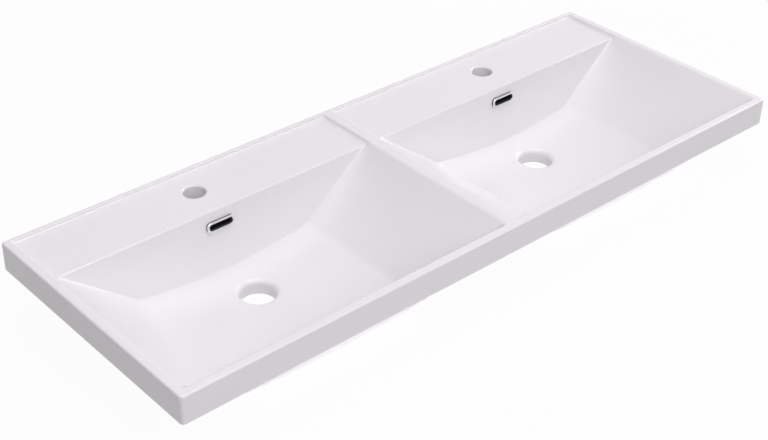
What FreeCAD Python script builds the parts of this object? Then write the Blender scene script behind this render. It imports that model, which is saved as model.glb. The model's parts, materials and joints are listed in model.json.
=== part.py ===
import FreeCAD, Part
import os

import Sketcher

# Double washbasin: one ceramic casting with two bowls, and an overflow fitting in each bowl.
# Millimetres, +Z up. X runs along the basin, -Y is the front and +Y the wall.
# The origin is under the middle of the basin, on the level of the two drain bosses.

doc = FreeCAD.newDocument("double_washbasin")

# Driving sizes

SIZES = {
    # Casting, outside
    "basin_width": 1210,
    "basin_depth": 450,
    "basin_height": 139,
    "edge_height": 47,
    "corner_round": 6,
    "top_edge_round": 3,
    "bottom_edge_round": 2,
    "apron_wall": 16,
    "apron_inner_round": 10,
    "plate_thickness": 13,
    # Rim, divider and tap ledge
    "side_rim": 14,
    "front_rim": 14,
    "back_rim": 8,
    "divider_width": 20,
    "ledge_depth": 122,
    "ledge_drop": 5,
    "ledge_step_setback": 6,
    "ledge_step_margin": 0.2,
    "rim_round": 2.5,
    # Bowls
    "bowl_spacing": 606,
    "bowl_wall": 11,
    "floor_width": 320,
    "floor_drop": 99,
    "floor_sag": 13,
    "rear_lean": 7.7,
    "front_lean": 45.3,
    "crease_round": 16,
    # Drains
    "drain_radius": 28,
    "drain_setback": 242,
    "drain_wall": 11,
    "drain_lip_round": 8,
    # Tap holes
    "tap_radius": 17.5,
    "tap_setback": 61,
    "tap_offset": 5.5,
    "tap_wall": 7,
    "tap_depth": 30,
    "tap_lip_round": 3.3,
    # Overflow slot and duct
    "slot_width": 43,
    "slot_height": 11,
    "slot_round": 4.5,
    "slot_drop": 30.8,
    "slot_offset": 5,
    "duct_width": 56,
    "duct_gap": 12,
    "duct_wall": 7,
    "duct_headroom": 6,
    "channel_width": 20,
    "channel_height": 6.5,
    "channel_offset": 21,
    "channel_roof": 8.5,
    "channel_floor": 3.5,
    # Overflow fitting
    "bezel_width": 50,
    "bezel_height": 17,
    "bezel_round": 6.5,
    "bezel_depth": 4.4,
    "bezel_outer_round": 0.9,
    "bezel_inner_round": 0.4,
    "sleeve_wall": 1.5,
    "sleeve_length": 15,
    "sleeve_recess": 1.2,
    "flange_lip": 0.4,
    "flange_thickness": 2.4,
    "fit_clearance": 0.3,
    # How far every cutting shape runs past the face that it cuts
    "overrun": 4,
}

sheet = doc.addObject("Spreadsheet::Sheet", "sizes")
for row, (alias, number) in enumerate(SIZES.items(), start=1):
    sheet.set(f"A{row}", alias)
    sheet.set(f"B{row}", str(number))
    sheet.setAlias(f"B{row}", alias)
doc.recompute()

# Levels and places, as expressions of the driving sizes

RIM = "sizes.basin_height"
LEDGE = f"({RIM} - sizes.ledge_drop)"
PLATE_UNDERSIDE = f"({LEDGE} - sizes.plate_thickness)"
APRON_FOOT = f"({RIM} - sizes.edge_height)"
FLOOR_SIDE = f"({RIM} - sizes.floor_drop)"
FLOOR_MIDDLE = f"({FLOOR_SIDE} - sizes.floor_sag)"
CHANNEL_TOP = f"({FLOOR_MIDDLE} - sizes.channel_roof)"
CHANNEL_FOOT = f"({CHANNEL_TOP} - sizes.channel_height)"
HALF_WIDTH = "(sizes.basin_width / 2)"
FRONT = "(-sizes.basin_depth / 2)"
BACK = "(sizes.basin_depth / 2)"
LEDGE_FRONT = f"({BACK} - sizes.ledge_depth)"
DRAIN_Y = f"({FRONT} + sizes.drain_setback)"
TAP_Y = f"({BACK} - sizes.tap_setback)"
TAP_FOOT = f"({LEDGE} - sizes.tap_depth)"
REAR_SLOPE = "(sizes.rear_lean / sizes.floor_drop)"
FRONT_SLOPE = "(sizes.front_lean / sizes.floor_drop)"
SIDES = {"left": -1, "right": 1}


def value(expression):
    """The number that an expression of the driving sizes gives now."""
    return float(sheet.evalExpression(expression))


def bowl_x(side):
    return f"({SIDES[side]} * sizes.bowl_spacing / 2)"


def bind(target, bindings):
    """Ties each named property of an object to its expression."""
    for name, expression in bindings.items():
        target.setExpression(name, expression)


def new_body(name):
    return doc.addObject("PartDesign::Body", name)


def new_sketch(body, name, plane, offset):
    """A sketch on one of the body's own planes, moved along the plane's normal by an expression."""
    sketch = body.newObject("Sketcher::SketchObject", name)
    support = [item for item in body.Origin.OriginFeatures if item.Role == plane]
    sketch.AttachmentSupport = (support[0], "")
    sketch.MapMode = "FlatFace"
    sketch.setExpression("AttachmentOffset.Base.z", offset)
    return sketch


def place_point(sketch, geometry, end, name, across, up):
    """Ties one end of a sketch line to two expressions, measured from the sketch's origin."""
    sketch.addConstraint(Sketcher.Constraint("DistanceX", -1, 1, geometry, end, value(across)))
    sketch.renameConstraint(sketch.ConstraintCount - 1, f"{name}_across")
    sketch.setExpression(f"Constraints.{name}_across", across)
    sketch.addConstraint(Sketcher.Constraint("DistanceY", -1, 1, geometry, end, value(up)))
    sketch.renameConstraint(sketch.ConstraintCount - 1, f"{name}_up")
    sketch.setExpression(f"Constraints.{name}_up", up)


def set_radius(sketch, arc, name, radius):
    sketch.addConstraint(Sketcher.Constraint("Radius", arc, value(radius)))
    sketch.renameConstraint(sketch.ConstraintCount - 1, name)
    sketch.setExpression(f"Constraints.{name}", radius)


def polygon(sketch, corners):
    """A closed outline of straight lines through named corners, each an expression pair."""
    points = [FreeCAD.Vector(value(across), value(up), 0) for _, across, up in corners]
    count = len(points)
    for i in range(count):
        sketch.addGeometry(Part.LineSegment(points[i], points[(i + 1) % count]), False)
    for i in range(count):
        sketch.addConstraint(Sketcher.Constraint("Coincident", i, 2, (i + 1) % count, 1))
    for i, (name, across, up) in enumerate(corners):
        place_point(sketch, i, 1, name, across, up)


def rounded_rectangle(sketch, left, right, low, high, radius):
    """A rectangle with four equal round corners. Lines are 0 to 3 and arcs 4 to 7, anticlockwise."""
    x0, x1, y0, y1, r = [value(item) for item in (left, right, low, high, radius)]
    ends = [
        ((x0 + r, y0), (x1 - r, y0)),
        ((x1, y0 + r), (x1, y1 - r)),
        ((x1 - r, y1), (x0 + r, y1)),
        ((x0, y1 - r), (x0, y0 + r)),
    ]
    centres = [(x1 - r, y0 + r), (x1 - r, y1 - r), (x0 + r, y1 - r), (x0 + r, y0 + r)]
    for start, stop in ends:
        sketch.addGeometry(Part.LineSegment(FreeCAD.Vector(*start, 0), FreeCAD.Vector(*stop, 0)), False)
    quarter = FreeCAD.Units.Quantity("90 deg").getValueAs("rad").Value
    for corner, centre in enumerate(centres):
        circle = Part.Circle(FreeCAD.Vector(*centre, 0), FreeCAD.Vector(0, 0, 1), r)
        sketch.addGeometry(Part.ArcOfCircle(circle, (corner - 1) * quarter, corner * quarter), False)
    for corner in range(4):
        sketch.addConstraint(Sketcher.Constraint("Tangent", corner, 2, 4 + corner, 1))
        sketch.addConstraint(Sketcher.Constraint("Tangent", 4 + corner, 2, (corner + 1) % 4, 1))
    for line, direction in enumerate(("Horizontal", "Vertical", "Horizontal", "Vertical")):
        sketch.addConstraint(Sketcher.Constraint(direction, line))
    for corner in range(1, 4):
        sketch.addConstraint(Sketcher.Constraint("Equal", 4, 4 + corner))
    set_radius(sketch, 4, "corner", radius)
    sides = {"left": (3, "DistanceX", left), "right": (1, "DistanceX", right)}
    sides |= {"low": (0, "DistanceY", low), "high": (2, "DistanceY", high)}
    for name, (line, kind, place) in sides.items():
        sketch.addConstraint(Sketcher.Constraint(kind, -1, 1, line, 1, value(place)))
        sketch.renameConstraint(sketch.ConstraintCount - 1, name)
        sketch.setExpression(f"Constraints.{name}", place)


def centred(width, height, radius):
    """The arguments of a rounded rectangle about the sketch's origin."""
    return (f"(-{width} / 2)", f"({width} / 2)", f"(-{height} / 2)", f"({height} / 2)", radius)


def pad(body, sketch, length, reverse=False):
    feature = body.newObject("PartDesign::Pad", f"{sketch.Name}_pad")
    feature.Profile = sketch
    feature.Reversed = reverse
    feature.setExpression("Length", length)
    doc.recompute()
    return feature


def pocket(body, sketch, length, reverse=False, sides="One side"):
    """Cuts a sketch's outline out of the body, and stops if that took nothing away."""
    before = body.Shape.Volume
    feature = body.newObject("PartDesign::Pocket", f"{sketch.Name}_pocket")
    feature.Profile = sketch
    feature.Reversed = reverse
    feature.SideType = sides
    feature.setExpression("Length", length)
    doc.recompute()
    if not body.Shape.Volume < before:
        raise RuntimeError(f"{sketch.Name} cuts nothing")
    return feature


def edge_names(shape, wanted):
    """Names of the edges that a test on the edge picks."""
    return [f"Edge{i}" for i, edge in enumerate(shape.Edges, start=1) if wanted(edge)]


def round_edges(body, name, radius, wanted):
    """Rounds the picked edges of a body as it stands now."""
    base = body.Tip
    feature = body.newObject("PartDesign::Fillet", name)
    feature.Base = (base, edge_names(base.Shape, wanted))
    feature.setExpression("Radius", radius)
    doc.recompute()
    return feature


def is_level(edge, height):
    """True for an edge that lies wholly on one level."""
    box = edge.BoundBox
    small = value("sizes.fit_clearance") / 2
    return abs(box.ZMin - height) < small and abs(box.ZMax - height) < small


def is_within(edge, half_width, half_depth):
    """True for an edge inside a rectangle about the origin, seen from above."""
    box = edge.BoundBox
    return max(-box.XMin, box.XMax) < half_width and max(-box.YMin, box.YMax) < half_depth


# Casting, its rim slab: a block with round edges, hollow from below


def make_slab():
    body = new_body("slab")
    outline = new_sketch(body, "slab_outline", "XY_Plane", APRON_FOOT)
    rounded_rectangle(outline, *centred("sizes.basin_width", "sizes.basin_depth", "sizes.corner_round"))
    pad(body, outline, "sizes.edge_height")
    round_edges(body, "slab_top_round", "sizes.top_edge_round", lambda edge: is_level(edge, value(RIM)))
    foot = value(APRON_FOOT)
    round_edges(body, "slab_foot_round", "sizes.bottom_edge_round", lambda edge: is_level(edge, foot))
    hollow = new_sketch(body, "slab_hollow", "XY_Plane", APRON_FOOT)
    width = "(sizes.basin_width - 2 * sizes.apron_wall)"
    depth = "(sizes.basin_depth - 2 * sizes.apron_wall)"
    rounded_rectangle(hollow, *centred(width, depth, "sizes.apron_inner_round"))
    pocket(body, hollow, f"{PLATE_UNDERSIDE} - {APRON_FOOT}", reverse=True)
    return body


# Bowls: a trough with sloping ends, a steep rear wall and a dished floor


def bowl_ends(side):
    """Where a bowl's two sloping ends meet the rim and the floor: (rim, floor) for left and right."""
    centre = bowl_x(side)
    outer = f"({HALF_WIDTH} - sizes.side_rim)"
    inner = "(sizes.divider_width / 2)"
    if side == "left":
        rims = (f"(-{outer})", f"(-{inner})")
    else:
        rims = (inner, outer)
    floors = (f"({centre} - sizes.floor_width / 2)", f"({centre} + sizes.floor_width / 2)")
    return list(zip(rims, floors))


def end_at(level, rim, floor, wall, outward):
    """Where a sloping end lies at a level, set outward by a wall measured square to the slope."""
    run = f"({rim} - {floor})"
    steep = f"sqrt(1 + pow({run} / sizes.floor_drop; 2))"
    return f"({floor} + ({level} - {FLOOR_SIDE}) * {run} / sizes.floor_drop + {outward} * {wall} * {steep})"


def make_trough(name, side, wall, top, back):
    """A bowl's form, grown by a wall: the hollow itself with no wall, and the shell's outside with one.

    The form reaches up to top, and above the ledge back to back.
    """
    body = new_body(name)
    (left_rim, left_floor), (right_rim, right_floor) = bowl_ends(side)
    foot = f"({FLOOR_SIDE} - {wall})"
    left_foot = end_at(foot, left_rim, left_floor, wall, -1)
    right_foot = end_at(foot, right_rim, right_floor, wall, 1)
    left_top = end_at(top, left_rim, left_floor, wall, -1)
    right_top = end_at(top, right_rim, right_floor, wall, 1)

    section = new_sketch(body, f"{name}_section", "XZ_Plane", f"-{back}")
    corners = [(left_foot, foot), (left_top, top), (right_top, top), (right_foot, foot)]
    points = [FreeCAD.Vector(value(across), value(up), 0) for across, up in corners]
    for i in range(3):
        sketch_line = Part.LineSegment(points[i], points[i + 1])
        section.addGeometry(sketch_line, False)
    lowest = (points[0] + points[3]) / 2 - FreeCAD.Vector(0, value("sizes.floor_sag"), 0)
    section.addGeometry(Part.Arc(points[0], lowest, points[3]), False)
    section.addConstraint(Sketcher.Constraint("Coincident", 0, 2, 1, 1))
    section.addConstraint(Sketcher.Constraint("Coincident", 1, 2, 2, 1))
    section.addConstraint(Sketcher.Constraint("Coincident", 3, 1, 0, 1))
    section.addConstraint(Sketcher.Constraint("Coincident", 3, 2, 2, 2))
    place_point(section, 0, 1, "left_foot", left_foot, foot)
    place_point(section, 1, 1, "left_top", left_top, top)
    place_point(section, 2, 1, "right_top", right_top, top)
    place_point(section, 2, 2, "right_foot", right_foot, foot)
    half = f"(({right_foot} - {left_foot}) / 2)"
    floor_radius = f"((pow({half}; 2) + pow(sizes.floor_sag; 2)) / (2 * sizes.floor_sag))"
    set_radius(section, 3, "floor_arc", floor_radius)
    front_top = f"({FRONT} + sizes.front_rim + ({RIM} - {top}) * {FRONT_SLOPE} - {wall})"
    pad(body, section, f"{back} - {front_top}")

    # The rear wall leans forward on its way down, below the tap ledge
    past_back = f"({back} + sizes.overrun)"
    rear_top = f"({LEDGE_FRONT} + {wall})"
    rear_low = f"({LEDGE_FRONT} + {wall} - ({LEDGE} + sizes.overrun) * {REAR_SLOPE})"
    rear = new_sketch(body, f"{name}_rear", "YZ_Plane", bowl_x(side))
    rear_outline = [("wall_top", rear_top, LEDGE), ("wall_low", rear_low, "(-sizes.overrun)")]
    rear_outline += [("out_low", past_back, "(-sizes.overrun)"), ("out_top", past_back, LEDGE)]
    polygon(rear, rear_outline)
    pocket(body, rear, "sizes.basin_width", sides="Symmetric")

    # The front wall leans back on its way down
    past_front = f"({front_top} - sizes.overrun)"
    front_low = f"({front_top} + ({top} + sizes.overrun) * {FRONT_SLOPE})"
    front = new_sketch(body, f"{name}_front", "YZ_Plane", bowl_x(side))
    front_outline = [("wall_top", front_top, top), ("wall_low", front_low, "(-sizes.overrun)")]
    front_outline += [("out_low", past_front, "(-sizes.overrun)"), ("out_top", past_front, top)]
    polygon(front, front_outline)
    pocket(body, front, "sizes.basin_width", sides="Symmetric")

    below = min(value(LEDGE), value(top)) - value("sizes.fit_clearance")
    creases = f"(sizes.crease_round + {wall})"
    round_edges(body, f"{name}_creases", creases, lambda edge: edge.BoundBox.ZMin < below)
    return body


def round_reach(rim, floor):
    """How far the rim's round reaches over the rim from the top of a sloping end."""
    run = f"abs({rim} - {floor})"
    slope = f"sqrt(pow({run}; 2) + pow(sizes.floor_drop; 2))"
    return f"(sizes.rim_round * ({slope} - {run}) / sizes.floor_drop)"


def make_hollow(side):
    """What is cut out of the casting for a bowl and the tap ledge behind it."""
    top = f"({RIM} + sizes.overrun)"
    back = f"({BACK} - sizes.back_rim)"
    body = make_trough(f"hollow_{side}", side, "0", top, back)
    # Behind its front edge the ledge ends in upright steps, just clear of the rounds on the bowl's rim
    (left_rim, left_floor), (right_rim, right_floor) = bowl_ends(side)
    step = new_sketch(body, f"ledge_step_{side}", "XY_Plane", LEDGE)
    start = f"({LEDGE_FRONT} + sizes.ledge_step_setback)"
    left = f"({left_rim} - {round_reach(left_rim, left_floor)} - sizes.ledge_step_margin)"
    right = f"({right_rim} + {round_reach(right_rim, right_floor)} + sizes.ledge_step_margin)"
    outline = [("front_left", left, start), ("front_right", right, start)]
    outline += [("back_right", right, back), ("back_left", left, back)]
    polygon(step, outline)
    pad(body, step, f"{top} - {LEDGE}")
    return body


def make_shell(side):
    """The outside of a bowl, reaching into the middle of the slab's plate."""
    top = f"({LEDGE} - sizes.plate_thickness / 2)"
    back = f"({LEDGE_FRONT} + sizes.bowl_wall)"
    return make_trough(f"shell_{side}", side, "sizes.bowl_wall", top, back)


# Plain blocks and round cutters


def make_box(name, left, right, front, back, low, high):
    box = doc.addObject("Part::Box", name)
    bind(box, {"Length": f"{right} - {left}", "Width": f"{back} - {front}", "Height": f"{high} - {low}"})
    bind(box, {"Placement.Base.x": left, "Placement.Base.y": front, "Placement.Base.z": low})
    return box


def make_cylinder(name, radius, across, deep, low, high):
    cylinder = doc.addObject("Part::Cylinder", name)
    bind(cylinder, {"Radius": radius, "Height": f"{high} - {low}"})
    bind(cylinder, {"Placement.Base.x": across, "Placement.Base.y": deep, "Placement.Base.z": low})
    return cylinder


def fuse(name, pieces):
    joined = doc.addObject("Part::MultiFuse", name)
    joined.Shapes = pieces
    joined.Refine = True
    doc.recompute()
    return joined


# Overflow: a slot in the rear wall, a duct behind it and a flat channel under the floor to the drain

DUCT_FRONT = f"({LEDGE_FRONT} + sizes.bowl_wall)"
DUCT_BACK = f"({DUCT_FRONT} + sizes.duct_gap)"
DUCT_TOP = f"({RIM} - sizes.slot_drop + sizes.slot_height / 2 + sizes.duct_headroom)"
HOUSING_FOOT = f"({CHANNEL_FOOT} - sizes.channel_floor)"


def slot_x(side):
    return f"({bowl_x(side)} - sizes.slot_offset)"


def channel_x(side):
    return f"({bowl_x(side)} - sizes.channel_offset)"


def make_housings(side):
    """The ribs on the casting's outside that hold the duct and the channel."""
    half_duct = "(sizes.duct_width / 2 + sizes.duct_wall)"
    left, right = f"({slot_x(side)} - {half_duct})", f"({slot_x(side)} + {half_duct})"
    wall_foot = f"({LEDGE_FRONT} - sizes.rear_lean)"
    behind = f"({DUCT_BACK} + sizes.duct_wall)"
    plate = f"({PLATE_UNDERSIDE} + sizes.plate_thickness / 2)"
    duct = make_box(f"duct_housing_{side}", left, right, wall_foot, behind, HOUSING_FOOT, plate)
    half_channel = "(sizes.channel_width / 2 + sizes.duct_wall)"
    left, right = f"({channel_x(side)} - {half_channel})", f"({channel_x(side)} + {half_channel})"
    channel = make_box(
        f"channel_housing_{side}", left, right, DRAIN_Y, LEDGE_FRONT, HOUSING_FOOT, FLOOR_MIDDLE
    )
    return [duct, channel]


def make_ducts(side):
    """The hollows inside those ribs."""
    left, right = f"({slot_x(side)} - sizes.duct_width / 2)", f"({slot_x(side)} + sizes.duct_width / 2)"
    duct = make_box(f"duct_{side}", left, right, DUCT_FRONT, DUCT_BACK, CHANNEL_FOOT, DUCT_TOP)
    left = f"({channel_x(side)} - sizes.channel_width / 2)"
    right = f"({channel_x(side)} + sizes.channel_width / 2)"
    channel = make_box(
        f"channel_{side}", left, right, DRAIN_Y, DUCT_BACK, CHANNEL_FOOT, CHANNEL_TOP
    )
    return [duct, channel]


def seat_on_wall(body, side):
    """Places a body drawn flat so that its Z leaves the rear wall squarely, at the slot's middle."""
    body.Placement = FreeCAD.Placement(FreeCAD.Vector(), FreeCAD.Rotation(FreeCAD.Vector(1, 0, 0), 90))
    level = f"({RIM} - sizes.slot_drop)"
    bind(body, {"Placement.Base.x": slot_x(side), "Placement.Base.z": level})
    bind(body, {"Placement.Base.y": f"{LEDGE_FRONT} - ({LEDGE} - {level}) * {REAR_SLOPE}"})
    bind(body, {"Placement.Rotation.Angle": f"90 deg - atan({REAR_SLOPE})"})
    doc.recompute()


SLOT = centred("sizes.slot_width", "sizes.slot_height", "sizes.slot_round")


def shrunk(margin):
    """The slot's outline with a margin taken off all round."""
    width = f"(sizes.slot_width - 2 * {margin})"
    height = f"(sizes.slot_height - 2 * {margin})"
    return centred(width, height, f"(sizes.slot_round - {margin})")


def bezel_outline(margin):
    """The bezel's outline with a margin taken off all round."""
    width = f"(sizes.bezel_width - 2 * {margin})"
    height = f"(sizes.bezel_height - 2 * {margin})"
    return centred(width, height, f"(sizes.bezel_round - {margin})")


def make_slot(side):
    """The cut through the rear wall, from the bowl into the duct."""
    body = new_body(f"slot_{side}")
    outline = new_sketch(body, f"slot_outline_{side}", "XY_Plane", "sizes.overrun")
    rounded_rectangle(outline, *SLOT)
    pad(body, outline, "sizes.overrun + sizes.bowl_wall + sizes.duct_gap / 2", reverse=True)
    seat_on_wall(body, side)
    return body


# The whole casting


def make_casting():
    slab = make_slab()
    solids = [slab]
    cutters = []
    for side in SIDES:
        drain = (bowl_x(side), DRAIN_Y)
        boss_radius = "sizes.drain_radius + sizes.drain_wall"
        solids.append(make_shell(side))
        solids.append(make_cylinder(f"drain_boss_{side}", boss_radius, *drain, "0", FLOOR_MIDDLE))
        solids += make_housings(side)
        cutters.append(make_hollow(side))
        above_floor = f"({FLOOR_SIDE} + sizes.overrun)"
        under_boss = "(-sizes.overrun)"
        cutters.append(make_cylinder(f"drain_{side}", "sizes.drain_radius", *drain, under_boss, above_floor))
        tap = (f"({bowl_x(side)} + {SIDES[side]} * sizes.tap_offset)", TAP_Y)
        collar_radius = "sizes.tap_radius + sizes.tap_wall"
        collar_top = f"({LEDGE} - sizes.plate_thickness / 2)"
        solids.append(make_cylinder(f"tap_collar_{side}", collar_radius, *tap, TAP_FOOT, collar_top))
        under_collar = f"({TAP_FOOT} - sizes.overrun)"
        cutters.append(make_cylinder(f"tap_hole_{side}", "sizes.tap_radius", *tap, under_collar, RIM))
        cutters += make_ducts(side)
        cutters.append(make_slot(side))
    casting = doc.addObject("Part::Cut", "casting")
    casting.Base = fuse("casting_solid", solids)
    casting.Tool = fuse("casting_hollows", cutters)
    casting.Refine = True
    doc.recompute()
    return round_lips(casting)


def round_lips(casting):
    """Rounds the lips of the tap holes and drains, and the rim's inner edge."""
    near = value("sizes.fit_clearance")
    floor, ledge, rim = value(FLOOR_MIDDLE), value(LEDGE), value(RIM)
    rounds = {
        "drain": (value("sizes.drain_radius"), value("sizes.drain_lip_round"), floor),
        "tap": (value("sizes.tap_radius"), value("sizes.tap_lip_round"), ledge),
    }
    inner_width = value(HALF_WIDTH) - value("sizes.top_edge_round") - near
    inner_depth = value(BACK) - value("sizes.top_edge_round") - near
    picked = []
    for i, edge in enumerate(casting.Shape.Edges, start=1):
        box = edge.BoundBox
        for radius, lip_round, level in rounds.values():
            is_round = abs(box.XLength - 2 * radius) < near and abs(box.YLength - 2 * radius) < near
            if is_round and abs(box.ZMin - level) < near:
                picked.append((i, lip_round, lip_round))
        if is_level(edge, rim) and is_within(edge, inner_width, inner_depth):
            picked.append((i, value("sizes.rim_round"), value("sizes.rim_round")))
    print("lips rounded:", len(picked))
    rounded = doc.addObject("Part::Fillet", "basin")
    rounded.Base = casting
    rounded.Edges = picked
    doc.recompute()
    return rounded


# Overflow fitting: a chrome bezel carried by a black push-in sleeve


def make_bezel(side):
    """A ring with a rounded front edge, which lies on the sleeve's flange."""
    body = new_body(f"bezel_{side}")
    seat = "(sizes.fit_clearance + sizes.flange_thickness)"
    ring = new_sketch(body, f"bezel_ring_{side}", "XY_Plane", seat)
    rounded_rectangle(ring, *bezel_outline("0"))
    pad(body, ring, f"sizes.bezel_depth - {seat}")
    opening = new_sketch(body, f"bezel_opening_{side}", "XY_Plane", seat)
    rounded_rectangle(opening, *SLOT)
    pocket(body, opening, "sizes.bezel_depth", reverse=True)
    front = value("sizes.bezel_depth")
    mouth_end = value("sizes.slot_width") / 2 + value("sizes.fit_clearance")
    mouth_side = value("sizes.slot_height") / 2 + value("sizes.fit_clearance")

    def is_mouth(edge):
        return is_level(edge, front) and is_within(edge, mouth_end, mouth_side)

    def is_outer(edge):
        return is_level(edge, front) and not is_within(edge, mouth_end, mouth_side)

    round_edges(body, f"bezel_mouth_round_{side}", "sizes.bezel_inner_round", is_mouth)
    round_edges(body, f"bezel_outer_round_{side}", "sizes.bezel_outer_round", is_outer)
    seat_on_wall(body, side)
    return body


def make_sleeve(side):
    """A tube through the slot, with a thin flange that lies between the wall and the bezel."""
    body = new_body(f"sleeve_{side}")
    tube_front = "(sizes.bezel_depth - sizes.sleeve_recess)"
    tube = new_sketch(body, f"sleeve_tube_{side}", "XY_Plane", tube_front)
    rounded_rectangle(tube, *shrunk("sizes.fit_clearance"))
    pad(body, tube, f"{tube_front} + sizes.sleeve_length", reverse=True)
    flange = new_sketch(body, f"sleeve_flange_{side}", "XY_Plane", "sizes.fit_clearance")
    rounded_rectangle(flange, *bezel_outline("sizes.flange_lip"))
    pad(body, flange, "sizes.flange_thickness")
    bore = new_sketch(body, f"sleeve_bore_{side}", "XY_Plane", tube_front)
    rounded_rectangle(bore, *shrunk("(sizes.fit_clearance + sizes.sleeve_wall)"))
    pocket(body, bore, f"{tube_front} + sizes.sleeve_length")
    seat_on_wall(body, side)
    return body


nodes = {"basin": make_casting()}
for side in SIDES:
    nodes[f"overflow_bezel_{side}"] = make_bezel(side)
    nodes[f"overflow_sleeve_{side}"] = make_sleeve(side)

# Checks and files

failed = [item.Name for item in doc.Objects if {"Invalid", "Error"} & set(item.State)]
if failed:
    raise RuntimeError(f"features failed: {failed}")
for label, node in nodes.items():
    node.Label = label
    if node.Shape.isNull() or not node.Shape.isValid():
        raise RuntimeError(f"{label} has no valid shape")

os.makedirs("parts", exist_ok=True)
for label, node in nodes.items():
    node.Shape.exportStep(f"parts/{label}.step")
    box = node.Shape.BoundBox
    print(label, len(node.Shape.Solids), "solid,", round(node.Shape.Volume / 1000), "cm3,", box)
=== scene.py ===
# %% [markdown]
# # A double washbasin, step by step
# The object is a washbasin for a cabinet top: one long ceramic casting with two bowls, a tap
# ledge behind each bowl, and an overflow slot with a chrome bezel in each rear wall. The packed
# model gives the frame, with its box, its mounts and the two covers that pull out of their slots.
# This lesson dresses it with surfaces worked out in numpy, in the same axes: X runs along the
# basin, -Y is the front, and Z is up.

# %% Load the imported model
import json

import bpy
import numpy as np
from mathutils import Matrix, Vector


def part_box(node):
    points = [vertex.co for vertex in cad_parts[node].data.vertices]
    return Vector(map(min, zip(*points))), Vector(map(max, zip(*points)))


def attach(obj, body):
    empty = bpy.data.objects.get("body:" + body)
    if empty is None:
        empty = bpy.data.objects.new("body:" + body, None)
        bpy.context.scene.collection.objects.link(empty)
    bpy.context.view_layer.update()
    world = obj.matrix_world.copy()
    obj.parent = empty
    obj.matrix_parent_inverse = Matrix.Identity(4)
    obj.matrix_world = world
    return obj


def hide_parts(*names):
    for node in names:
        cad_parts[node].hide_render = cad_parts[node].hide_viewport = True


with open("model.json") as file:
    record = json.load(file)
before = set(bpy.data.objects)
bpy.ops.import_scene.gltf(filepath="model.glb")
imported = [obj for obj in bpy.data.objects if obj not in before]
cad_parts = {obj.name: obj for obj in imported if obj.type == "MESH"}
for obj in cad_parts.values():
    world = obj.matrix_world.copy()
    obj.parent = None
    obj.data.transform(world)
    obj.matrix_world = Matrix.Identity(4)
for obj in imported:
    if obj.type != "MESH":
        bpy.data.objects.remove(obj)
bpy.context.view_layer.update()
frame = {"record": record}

# %% [markdown]
# ## The casting's sizes
# A mould maker starts from a drawing with a few levels and edges, and everything else follows
# from them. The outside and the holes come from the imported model, so they cannot drift from it.
# The bowls' sizes are written here once. All of them are in millimetres, because a basin is
# drawn in millimetres, and only the finished mesh is turned into metres.

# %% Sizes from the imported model
MM = 0.001


def in_millimetres(metres):
    """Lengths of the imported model, which are in metres, turned into millimetres."""
    return np.array(metres, float) / MM


_, (HALF_WIDTH, HALF_DEPTH, RIM) = [in_millimetres(corner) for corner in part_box("basin")]
mounts = {mount["name"]: mount for mount in frame["record"]["mounts"]}
BOWL_X, DRAIN_Y, _ = in_millimetres(mounts["drain_right"]["pos_m"])
DRAIN_RADIUS = mounts["drain_right"]["dims"]["r_mm"]
TAP_X, TAP_Y, _ = in_millimetres(mounts["tap_hole_right"]["pos_m"])
TAP_RADIUS = mounts["tap_hole_right"]["dims"]["r_mm"]
APRON_FOOT = in_millimetres(mounts["cabinet_rest"]["pos_m"])[2]
print("half width", HALF_WIDTH, "half depth", HALF_DEPTH, "rim", RIM, "apron foot", APRON_FOOT)

# %% Levels and edges of the bowls
LEDGE = RIM - 5
PLATE_UNDERSIDE = LEDGE - 13
FLOOR_DROP = 99
FLOOR_SIDE = RIM - FLOOR_DROP
FLOOR_SAG = 13
FLOOR_MIDDLE = FLOOR_SIDE - FLOOR_SAG
BOWL_WALL = 11

INNER_EDGE = 10
OUTER_EDGE = HALF_WIDTH - 14
FRONT_EDGE = 14 - HALF_DEPTH
LEDGE_FRONT = HALF_DEPTH - 122
LEDGE_BACK = HALF_DEPTH - 8
STEP_WIDENING = 1
HALF_FLOOR = 160
FLOOR_RADIUS = (HALF_FLOOR**2 + FLOOR_SAG**2) / (2 * FLOOR_SAG)

# Each wall moves inward by its run while it falls from its edge to the floor's side
INNER_RUN = BOWL_X - HALF_FLOOR - INNER_EDGE
OUTER_RUN = OUTER_EDGE - BOWL_X - HALF_FLOOR
FRONT_RUN = 45.3
REAR_RUN = 7.7
print("floor at", FLOOR_MIDDLE, "to", FLOOR_SIDE, "and ledge at", LEDGE)

# %% [markdown]
# ## One formula for the casting
# A cast basin has no sharp corner: slip settles and glaze flows, so every edge and crease is
# soft. Modelling that with bevels on a mesh is a fight at each corner where three rounds meet.
# Instead the whole casting is one formula that gives the depth of a point inside the ceramic.
# Two simple shapes are joined by taking the smaller or the larger depth, with a rounded corner.
# Then a net of points is laid roughly over the basin and moved until the depth is zero.


# %% Rounded joins of two depths
def both(a, b, reach):
    """Inside a and also inside b: the smaller depth, with the edge rounded within the reach.

    Where both depths are under the reach, the result is the reach less the hypotenuse of what
    each lacks, which draws a quarter circle.
    """
    lack = np.hypot(np.maximum(reach - a, 0), np.maximum(reach - b, 0))
    return np.maximum(reach, np.minimum(a, b)) - lack


def either(a, b, reach):
    """Inside a or inside b: the opposite of being outside both."""
    return -both(-a, -b, reach)


def wall_depth(inward, fall, run):
    """How far a point lies inside a leaning wall.

    inward is measured from the wall's top edge and fall is how far the point is below it. The
    wall goes inward by run over the floor's drop, and the depth is measured square to it.
    """
    return (inward * FLOOR_DROP - fall * run) / np.hypot(FLOOR_DROP, run)


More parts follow.
